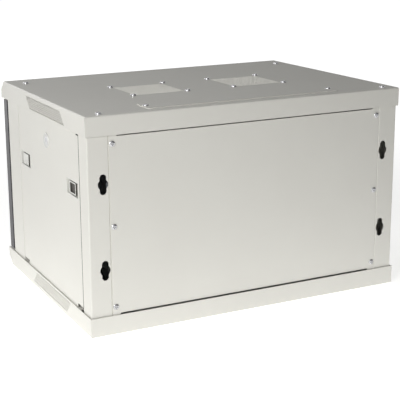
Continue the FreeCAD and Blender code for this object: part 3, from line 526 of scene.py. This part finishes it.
def fan_field(side):
    """The square field of holes over one fan."""
    middle = (side * FAN_X, FAN_Y, HEIGHT)
    along, up = RIGHT * FIELD, BACK * FIELD
    return perforated_sheet(middle, along, up, FIELD_COLUMNS, FIELD_ROWS, FIELD_HOLE, SHEET)


# The fan fields wear the punched sheet's coat, lightened as painted light for their lit hole walls.
for side_name, side in SIDES:
    node = "fan_grille_" + side_name
    piece("fan_field_" + side_name, fan_field(side), "cabinet", [node], look=punched_sheet_painted_light)


# Vents in the skirts

VENT_LOW, VENT_HIGH = corners_of("lid_vent_right")
VENT_MID = middle_of("lid_vent_right")[2]
VENT_HEIGHT = VENT_HIGH[2] - VENT_LOW[2]
VENT_SLANT = 20.0
VENT_LENGTH = VENT_HIGH[1] - VENT_LOW[1] - VENT_SLANT
VENT_GAP = 0.8
VENT_COLUMNS = 44
VENT_ROWS = 6
VENT_HOLE = 1.5


def skirt_vent(side, low):
    """The slanted field of fine holes in one side skirt, a hair smaller than its opening."""
    length = VENT_LENGTH - 2 * VENT_GAP
    height = VENT_HEIGHT - 2 * VENT_GAP
    slant = VENT_SLANT * height / VENT_HEIGHT
    middle_z = HEIGHT - VENT_MID if low else VENT_MID
    lean = slant if low else -slant
    along = BACK * length * side
    up = UP * height + BACK * lean
    middle = (side * SKIRT_X, MID_Y, middle_z)
    return perforated_sheet(middle, along, up, VENT_COLUMNS, VENT_ROWS, VENT_HOLE, SHEET)


# The lid vents wear the vent sheet's coat, darkened as painted shade for their fine holes.
for side_name, side in SIDES:
    node = "lid_vent_" + side_name
    piece("lid_vent_field_" + side_name, skirt_vent(side, False), "cabinet", [node], look=vent_sheet_painted_shade)
    node = "base_vent_" + side_name
    piece("base_vent_field_" + side_name, skirt_vent(side, True), "cabinet", [node])


# Fan rotors

BLADES = 7
HUB = 21.0
HUB_STEPS = 64
HUB_LIP = 1.5
HUB_LIP_STEP = 0.01
CROWN = 2.5
CROWN_STEPS = 7
DISH = 12.0
DISH_FLOOR = 11.5
DISH_DEPTH = 0.5
SHAFT = 2.5
SHAFT_LENGTH = 5.9
ROTOR_RISE = 7.3
ROTOR_DROP = 4.0
ROTOR_LOW = HEIGHT - SHEET - FAN_THICK + ROTOR_RISE
ROTOR_HIGH = HEIGHT - SHEET - ROTOR_DROP

BLADE_TIP = 55.5
BLADE_ROOT_SHARE = -0.04
SPAN_STEPS = 14
OUTLINE_STEPS = 36
ROOT_CHORD = 25
CHORD_GAIN = 13
ROOT_TILT = 42
TILT_LOSS = 19
SWEEP = 0.30
SWEEP_POWER = 1.6
BLADE_THICK = 3.4
THICK_LOSS = 0.35
BLADE_EDGE = 0.25
CAMBER = 0.09
LEAST_TURN_RADIUS = 24.0


def aerofoil_blade(turn):
    """One swept blade, a closed grid of span by outline.

    At share s of the span the radius is hub + s (tip - hub), and the chord, its tilt and its sweep round
    the hub all run smoothly from root to tip. Round the outline, u runs there and back along the chord
    and the half thickness is t sqrt(u) (1 - u), on a mean line that is raised by 4 c u (1 - u).
    """
    share = np.linspace(BLADE_ROOT_SHARE, 1.0, SPAN_STEPS)[:, None]
    around = np.arange(OUTLINE_STEPS) / OUTLINE_STEPS * 2 * np.pi
    u = (1 - np.cos(around))[None, :] / 2
    face = np.sign(np.sin(around))[None, :]
    chord = ROOT_CHORD + CHORD_GAIN * share
    tilt = np.radians(ROOT_TILT - TILT_LOSS * share)
    sweep = SWEEP * np.maximum(share, 0.0) ** SWEEP_POWER
    half_thick = BLADE_THICK * np.sqrt(u) * (1 - u) * (1 - THICK_LOSS * share) + BLADE_EDGE
    run = (u - 0.5) * chord
    rise = 4 * CAMBER * chord * u * (1 - u) + face * half_thick
    flat = run * np.cos(tilt) - rise * np.sin(tilt)
    height = run * np.sin(tilt) + rise * np.cos(tilt)
    radius = HUB + share * (BLADE_TIP - HUB)
    angle = turn + sweep + flat / np.maximum(radius, LEAST_TURN_RADIUS)
    points = np.stack([radius * np.cos(angle), radius * np.sin(angle), height + 0 * radius], -1)
    root, tip = (np.tile(points[end].mean(0), (1, OUTLINE_STEPS, 1)) for end in (0, -1))
    closed = np.concatenate([root, points, tip])
    return closed, grid_faces(len(closed), OUTLINE_STEPS)


def rotor(side):
    """A hub turned from a profile, its shaft and its blades.

    The hub's crown is a quarter arc (r - c + c cos b, h - c + c sin b), and its top has a flat dish.
    """
    centre = np.array([side * FAN_X, FAN_Y, 0.0])
    rise = np.array([0.0, 0.0, (ROTOR_LOW + ROTOR_HIGH) / 2])
    bend = np.linspace(0, np.pi / 2, CROWN_STEPS)
    shaft_low = ROTOR_LOW - SHAFT_LENGTH
    lip = ROTOR_LOW + HUB_LIP_STEP
    dish = ROTOR_HIGH - DISH_DEPTH
    foot_radii = [0, SHAFT, SHAFT, HUB - HUB_LIP, HUB - HUB_LIP, HUB]
    foot = [shaft_low, shaft_low, ROTOR_LOW, ROTOR_LOW, lip, lip]
    crown_radii = HUB - CROWN + CROWN * np.cos(bend)
    crown = ROTOR_HIGH - CROWN + CROWN * np.sin(bend)
    radii = np.concatenate([foot_radii, crown_radii, [DISH, DISH_FLOOR, 0.0]])
    heights = np.concatenate([foot, crown, [ROTOR_HIGH, dish, dish]])
    shapes = [(turned(radii, heights, HUB_STEPS) + centre, grid_faces(len(radii), HUB_STEPS))]
    for index in range(BLADES):
        points, faces = aerofoil_blade(2 * np.pi * index / BLADES)
        shapes.append((points + centre + rise, faces))
    return shapes


for side_name, side in SIDES:
    piece("rotor_" + side_name, rotor(side), "fan_" + side_name, ["fan_rotor_" + side_name])


# Lock barrels

RIM = 13.5
RIM_THICK = 1.8
RIM_ROUND = 1.6
RIM_STEPS = 9
RIM_FALL = 0.9
BORE = 7.1
BARREL = 9.0
BARREL_STEPS = 72


def lock_barrel(seat, axis, length):
    """A barrel with a rounded rim and a dished face, turned from a profile.

    The rim's edge is a quarter arc up to its crest, and the face falls from there to the bore along a
    cosine.
    """
    bend = np.linspace(0, np.pi / 2, RIM_STEPS)
    share = np.linspace(0.1, 1.0, RIM_STEPS)
    crest = RIM - RIM_ROUND
    edge_radii = crest + RIM_ROUND * np.cos(bend)
    edge = RIM_THICK - RIM_ROUND + RIM_ROUND * np.sin(bend)
    face_radii = crest - share * (crest - BORE)
    face = RIM_THICK - RIM_FALL * (1 - np.cos(np.pi * share)) / 2
    radii = np.concatenate([[BORE, BARREL, BARREL, RIM], edge_radii, face_radii, [BORE]])
    heights = np.concatenate([[-length, -length, 0.0, 0.0], edge, face, [-length]])
    return stood(turned(radii, heights, BARREL_STEPS), seat, axis), grid_faces(len(radii), BARREL_STEPS)


SIDE_LOCK_Z = middle_of("side_lock_barrel_right")[2]
SIDE_BARREL_LENGTH = 13.3
DOOR_LOCK_X = middle_of("door_lock_barrel")[0]
DOOR_BARREL_LENGTH = 35.1

for side_name, side in SIDES:
    barrel = lock_barrel((side * BODY_X, MID_Y, SIDE_LOCK_Z), RIGHT * side, SIDE_BARREL_LENGTH)
    body = "side_panel_" + side_name
    node = "side_lock_barrel_" + side_name
    piece("side_barrel_" + side_name, [barrel], body, [node], look=satin_plated_casting)
door_barrel = lock_barrel((DOOR_LOCK_X, DOOR_FACE, MID_Z), -BACK, DOOR_BARREL_LENGTH)
piece("door_barrel", [door_barrel], "door", ["door_lock_barrel"])


# Thumb pads of the latches

PAD_HALF = 10.5
PAD_INNER = 14.0
PAD_OUTER = 15.0
PAD_FACE = 294.32
LATCH_OFFSET = 122.5
LATCH_Z = middle_of("latch_slider_rear_right")[2]


def rectangle_stack(side, way, rings, tilt=0.0):
    """Rectangles stacked away from the panel, each given as an inset and a height.

    A point of the ring with inset i and height h lies at (face + h, u, v), where u is -(inner - i) or
    outer - i and v is -(half - i) or half - i. The last ring leans: tilt is added to h at its inner
    end and taken off at its outer one.
    """
    inset, height = np.asarray(rings, float).T
    lean = np.zeros((len(rings), 1))
    lean[-1] = tilt
    u = np.stack([inset - PAD_INNER, PAD_OUTER - inset, PAD_OUTER - inset, inset - PAD_INNER], 1)
    v = np.stack([inset - PAD_HALF, inset - PAD_HALF, PAD_HALF - inset, PAD_HALF - inset], 1)
    level = PAD_FACE + height[:, None] + lean * np.array([1, -1, -1, 1])
    return np.stack([side * level, MID_Y + way * (LATCH_OFFSET + u), LATCH_Z + v], -1)


def facing_out(points, faces, side, way):
    """The faces in the order that makes them face outwards on this side and end."""
    return points, faces if side * way > 0 else [face[::-1] for face in faces]


def closed_stack(side, way, rings, tilt=0.0):
    """A stack with both of its ends closed."""
    points = rectangle_stack(side, way, rings, tilt)
    last = 4 * (len(rings) - 1)
    faces = grid_faces(len(rings), 4).tolist()
    faces += [[3, 2, 1, 0], [last, last + 1, last + 2, last + 3]]
    return facing_out(points, faces, side, way)


def frame_stack(side, way, rings):
    """A stack whose last ring meets its first, as a picture frame's section does."""
    points = rectangle_stack(side, way, rings + rings[:1])
    return facing_out(points, grid_faces(len(rings) + 1, 4).tolist(), side, way)


PAD_CORE = [(0.0, 0.0), (0.0, 2.2), (0.3, 2.5), (2.1, 2.5), (2.2, 0.1)]
PAD_FRAME = [(0.4, 2.4), (0.4, 2.7), (0.7, 2.95), (2.0, 2.95), (2.3, 2.7), (2.3, 2.4)]
PAD_PLATE = [(2.5, 0.2), (2.4, 2.45)] + PAD_FRAME[1:4] + [(3.6, 2.0)]
PLATE_TILT = 0.7

# The thumb cores are painted near black as painted shade for the dark well inside each latch; the plates
# and frames are the light moulding.
for side_name, side in SIDES:
    latch = "latch_front_" + side_name
    core = closed_stack(side, -1, PAD_CORE)
    plate = closed_stack(side, -1, PAD_PLATE, -PLATE_TILT)
    piece("thumb_core_front_" + side_name, [core], latch, [], "grey_plastic", dark_moulding)
    piece("thumb_plate_front_" + side_name, [plate], latch, [], "grey_plastic")
    latch = "latch_rear_" + side_name
    core = closed_stack(side, 1, PAD_CORE)
    rim = frame_stack(side, 1, PAD_FRAME)
    piece("thumb_core_rear_" + side_name, [core], latch, [], "grey_plastic", dark_moulding)
    piece("thumb_frame_rear_" + side_name, [rim], latch, [], "grey_plastic")


# Side panels

NOTCH = 5.0
NOTCH_LONGER = 6.0
NOTCH_LOWER = 1.6
REAR_EASE = 2.0
FLANGE_REACH = 3.0
NEAR = 0.1

# Sizes of the near black strip and block that are painted shade in a side panel's rear gap and notch.
SEAM_SHADE_SIDE = 297.3
SEAM_SHADE_DEPTH = 6.0
SEAM_SHADE_THICK = 1.9
SEAM_SHADE_GAP = 0.05
SEAM_SHADE_LAP = 0.1
SEAM_SHADE_EASE = 0.2
SEAM_SHADE_LOW = 38.0
NOTCH_SHADE_DROP = 0.3

PANEL_SHEET = 1.2
PANEL_LOW = 39.0
LIP_HALF = 69.4
LIP_DROP = 5.2
LIP_RISE = 2.4
LIP_EASE = 0.1


def eased_panel(node):
    """A side panel with the wide gap behind it that shows on the real one.

    A point of a copy of the solid's mesh moves forward by the ease where it lies within the flange's
    reach of the rear edge. The notch in the upper rear corner is made longer and lower in the same way:
    the points at its front end move by NOTCH_LONGER and those at its foot by NOTCH_LOWER.
    """
    mesh = nodes[node].data.copy()
    form = merged(mesh)
    form.to_mesh(mesh)
    form.free()
    points = np.empty(3 * len(mesh.vertices))
    mesh.vertices.foreach_get("co", points)
    points = points.reshape(-1, 3)
    y, z = points[:, 1].copy(), points[:, 2].copy()
    rear = y.max()
    front = rear - NOTCH * MM
    foot = z.max() - NOTCH * MM
    near = NEAR * MM
    points[(np.abs(z - foot) < near) & (y > front - near), 2] += NOTCH_LOWER * MM
    points[(np.abs(y - front) < near) & (z > foot - near), 1] -= NOTCH_LONGER * MM
    points[y > rear - FLANGE_REACH * MM, 1] -= REAR_EASE * MM
    mesh.vertices.foreach_set("co", points.ravel())
    mesh.update()
    return mesh


def seam_shade_pieces(side, rear, top):
    """Painted shade behind a side panel: a near black strip in the gap up to the notch's foot, and a block
    in the notch.
    """
    x_low, x_high = sorted((side * SEAM_SHADE_SIDE, side * (SEAM_SHADE_SIDE - SEAM_SHADE_DEPTH)))
    foot = top - NOTCH + NOTCH_LOWER + SEAM_SHADE_LAP
    front = rear - NOTCH - NOTCH_LONGER + REAR_EASE + SEAM_SHADE_LAP
    back = rear + SEAM_SHADE_THICK
    strip = eased_box((x_low, rear + SEAM_SHADE_GAP, SEAM_SHADE_LOW), (x_high, back, foot), SEAM_SHADE_EASE)
    notch_shade = eased_box((x_low, front, foot), (x_high, back, top - NOTCH_SHADE_DROP), SEAM_SHADE_EASE)
    return [strip, notch_shade]


def panel_lip(side):
    """The flat lip under a side panel, between its hooks."""
    x_low, x_high = sorted((side * BODY_X, side * (BODY_X - PANEL_SHEET)))
    low = (x_low, MID_Y - LIP_HALF, PANEL_LOW - LIP_DROP)
    high = (x_high, MID_Y + LIP_HALF, PANEL_LOW + LIP_RISE)
    return eased_box(low, high, LIP_EASE)


# Each side panel gets a near black strip and block as painted shade in its rear gap and notch.
for side_name, side in SIDES:
    body = "side_panel_" + side_name
    high = corners_of(body)[1]
    skin = placed("panel_skin_" + side_name, eased_panel(body))
    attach(skin, body)
    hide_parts(body)
    seam_shade_parts = seam_shade_pieces(side, high[1] - REAR_EASE, high[2])
    piece("panel_seam_shade_" + side_name, seam_shade_parts, body, [], "black_plastic", seam_painted_shade)
    piece("panel_lip_" + side_name, [panel_lip(side)], body, [], "light_grey_powder_coat")


# Studio

FLOOR_REACH = 30.0
FLOOR_GLOW = 0.62
HORIZON_GLOW = 0.97
# BOUNCE is the level of the floor's glow that lights the cabinet: painted bounce light.
BOUNCE = 0.96
BOUNCE_NEAR = 0.45
BOUNCE_FAR = 1.1
FOOTPRINT_SHARE = (1 / (SKIRT_X * MM), 1 / (SKIRT_BACK * MM), 0.0)
UNDERSIDE_GLOW = 0.3
WORLD_LIGHT = 0.06
WORLD_PALE = 0.76
WORLD_DARK = 0.05
WORLD_WAY = (1.0, -0.1, 0.0)
WORLD_TURN_DARK = -0.85
WORLD_TURN_PALE = 0.25


def seen_directly(tree):
    """1 for rays from the camera and for those that metal and glass send on, else 0."""
    rays = add(tree, "ShaderNodeLightPath").outputs
    seen = rays["Is Camera Ray"]
    for other in ("Is Glossy Ray", "Is Transmission Ray"):
        seen = add(tree, "ShaderNodeMath", {0: seen, 1: rays[other]}, operation="MAXIMUM").outputs[0]
    return seen


def floor_bounce(tree, place, distance):
    """The light that the floor's glow throws on the object. The floor is no lamp: this glow is painted
    bounce light.

    Round the cabinet it falls smoothly to nothing between two distances from the middle. Under the
    cabinet, where |x| / half width and |y| / half depth are both under 1, it is a small fixed level.
    """
    bounce = add(
        tree,
        "ShaderNodeMapRange",
        {0: distance, 1: BOUNCE_NEAR, 2: BOUNCE_FAR, 3: BOUNCE, 4: 0.0},
        interpolation_type="SMOOTHSTEP",
    ).outputs[0]
    share = add(tree, "ShaderNodeVectorMath", {0: place, 1: FOOTPRINT_SHARE}, operation="MULTIPLY")
    size = add(tree, "ShaderNodeVectorMath", {0: share.outputs[0]}, operation="ABSOLUTE")
    sides = add(tree, "ShaderNodeSeparateXYZ", {0: size.outputs[0]})
    larger = add(tree, "ShaderNodeMath", {0: sides.outputs[0], 1: sides.outputs[1]}, operation="MAXIMUM")
    outside = add(tree, "ShaderNodeMath", {0: larger.outputs[0], 1: 1.0}, operation="GREATER_THAN")
    return add(tree, "ShaderNodeMix", {0: outside.outputs[0], 2: UNDERSIDE_GLOW, 3: bounce}).outputs[0]


def stage_floor():
    """A pale floor under the cabinet. It looks white, keeps the shadow, and glows to light the cabinet
    from below: painted bounce light, as the floor is no lamp.

    What the camera sees of its glow runs smoothly from the cabinet to the horizon.
    """
    material = bpy.data.materials.new("studio_floor")
    material.use_nodes = True
    tree = material.node_tree
    tree.nodes.clear()
    matt = add(tree, "ShaderNodeBsdfDiffuse", {"Color": linear("#f4f4f2")})
    place = add(tree, "ShaderNodeTexCoord").outputs["Object"]
    distance = add(tree, "ShaderNodeVectorMath", {0: place}, operation="LENGTH").outputs["Value"]
    thrown = floor_bounce(tree, place, distance)
    seen = add(
        tree,
        "ShaderNodeMapRange",
        {0: distance, 1: BOUNCE_NEAR, 2: 3 * BOUNCE_FAR, 3: FLOOR_GLOW, 4: HORIZON_GLOW},
        interpolation_type="SMOOTHSTEP",
    ).outputs[0]
    level = add(tree, "ShaderNodeMix", {0: seen_directly(tree), 2: thrown, 3: seen}).outputs[0]
    white = add(tree, "ShaderNodeEmission", {"Color": (1, 1, 1, 1), "Strength": level})
    both = add(tree, "ShaderNodeAddShader", {0: matt.outputs[0], 1: white.outputs[0]})
    add(tree, "ShaderNodeOutputMaterial", {"Surface": both.outputs[0]})
    mesh = bpy.data.meshes.new("floor")
    corners = [(a * FLOOR_REACH, b * FLOOR_REACH, 0) for a, b in ((-1, -1), (1, -1), (1, 1), (-1, 1))]
    mesh.from_pydata(corners, [], [(0, 1, 2, 3)])
    mesh.materials.append(material)
    placed("floor", mesh)


def soft_lamp(name, place, aim, size, power):
    """A square soft lamp that faces a point."""
    lamp = bpy.data.lights.new(name, "AREA")
    lamp.shape = "SQUARE"
    lamp.size = size
    lamp.energy = power
    made = placed(name, lamp)
    made.location = place
    made.rotation_euler = (Vector(aim) - Vector(place)).to_track_quat("-Z", "Y").to_euler()


def studio_world():
    """A dim surround, white to the camera. Metal and glass see it pale on the key lamp's side.

    There its level rises smoothly with the direction's share along WORLD_WAY.
    """
    world = bpy.data.worlds.new("studio")
    bpy.context.scene.world = world
    world.use_nodes = True
    tree = world.node_tree
    tree.nodes.clear()
    way = add(tree, "ShaderNodeTexCoord").outputs["Generated"]
    turn = add(tree, "ShaderNodeVectorMath", {0: way, 1: WORLD_WAY}, operation="DOT_PRODUCT")
    pale = add(
        tree,
        "ShaderNodeMapRange",
        {0: turn.outputs["Value"], 1: WORLD_TURN_DARK, 2: WORLD_TURN_PALE, 3: WORLD_DARK, 4: WORLD_PALE},
        interpolation_type="SMOOTHSTEP",
    ).outputs[0]
    thrown = add(tree, "ShaderNodeMix", {0: seen_directly(tree), 2: WORLD_LIGHT, 3: pale}).outputs[0]
    camera_ray = add(tree, "ShaderNodeLightPath").outputs["Is Camera Ray"]
    level = add(tree, "ShaderNodeMix", {0: camera_ray, 2: thrown, 3: 1.0}).outputs[0]
    glow = add(tree, "ShaderNodeBackground", {"Color": (1, 1, 1, 1), "Strength": level})
    add(tree, "ShaderNodeOutputWorld", {"Surface": glow.outputs[0]})


stage_floor()
studio_world()


# Camera, fitted to the corners of the cabinet in the photograph, in metres and pixels

PICTURE = 400
AXIS_X = 168.0022
AXIS_Y = 185.851
FOCAL = 1051.7316
SENSOR = 36.0
AZIMUTH = math.radians(154.8353)
ELEVATION = math.radians(14.2214)
ROLL = math.radians(-0.7536)
DISTANCE = 1.97586
TARGET = Vector((0.052526, 0.0, 0.178366))


def photo_camera():
    """The camera of the photograph: behind the cabinet, to its right side and a little above.

    It looks from target + distance (sin a cos e, -cos a cos e, sin e) at the target, rolled about that
    line. AXIS_X and AXIS_Y are the picture's pixel that the lens's axis meets, and FOCAL is in pixels.
    """
    level_share = math.cos(ELEVATION)
    back = Vector(
        (math.sin(AZIMUTH) * level_share, -math.cos(AZIMUTH) * level_share, math.sin(ELEVATION))
    )
    level = Vector((0, 0, 1)).cross(back).normalized()
    upright = back.cross(level)
    right = math.cos(ROLL) * level + math.sin(ROLL) * upright
    up = -math.sin(ROLL) * level + math.cos(ROLL) * upright
    camera = bpy.data.cameras.new("photo_camera")
    camera.sensor_width = SENSOR
    camera.lens = FOCAL / PICTURE * SENSOR
    camera.shift_x = (PICTURE / 2 - AXIS_X) / PICTURE
    camera.shift_y = (AXIS_Y - PICTURE / 2) / PICTURE
    made = placed("photo_camera", camera)
    turn = Matrix((right, up, back)).transposed().to_4x4()
    made.matrix_world = Matrix.Translation(TARGET + back * DISTANCE) @ turn
    bpy.context.scene.camera = made


photo_camera()
soft_lamp("key", place=(1.55, 1.28, 1.05), aim=(0.0, 0.0, 0.2), size=0.8, power=24)
soft_lamp("front", place=(0.9, -2.7, 1.0), aim=(0.0, 0.0, 0.18), size=1.6, power=16)
soft_lamp("left", place=(-2.4, -0.5, 1.0), aim=(0.0, 0.0, 0.18), size=1.4, power=10)
soft_lamp("top", place=(0.5, -0.2, 2.6), aim=(0.1, 0.0, 0.3), size=1.2, power=5)

bpy.context.scene.view_settings.view_transform = "Standard"
